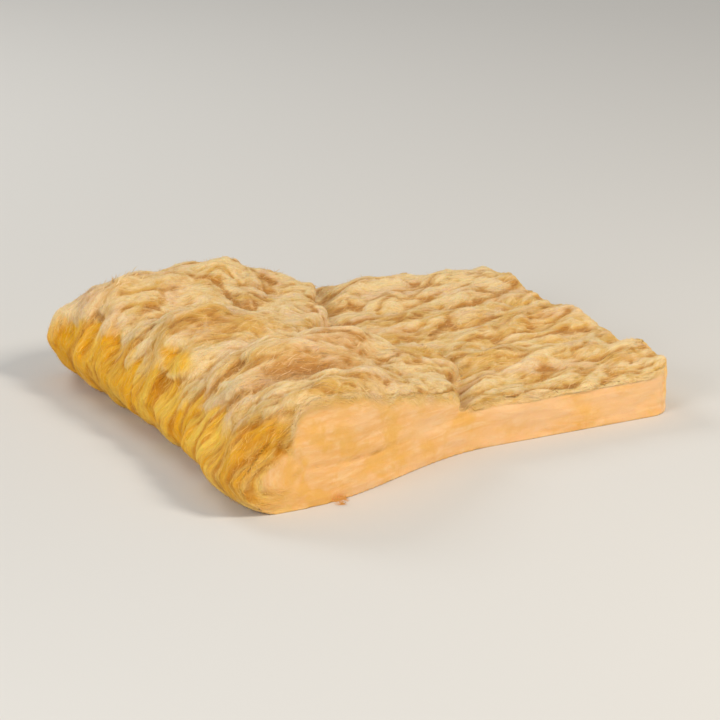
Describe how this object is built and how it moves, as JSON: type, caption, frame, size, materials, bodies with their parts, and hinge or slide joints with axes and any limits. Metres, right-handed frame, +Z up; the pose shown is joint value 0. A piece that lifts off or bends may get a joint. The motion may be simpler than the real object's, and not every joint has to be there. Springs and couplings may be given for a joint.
{
  "type": "insulation roll blanket",
  "caption": "Length of glass-wool insulation blanket doubled over on itself, with a rounded fold, soft ridges, a torn flap end and knife-cut sides",
  "frame": {"origin": "the middle of the blanket's plan, on the floor that it lies on", "axes": "X runs along the strip from the rounded fold at -X to the cut end at +X; Y runs across it from the near cut side at -Y to the far side at +Y; Z is up"},
  "size_m": [0.6706, 0.6104, 0.1487],
  "materials": {
    "glass_wool": "matte loose fibres"
  },
  "bodies": {
    "root": {"wool_blanket": "glass_wool"}
  },
  "joints": []
}
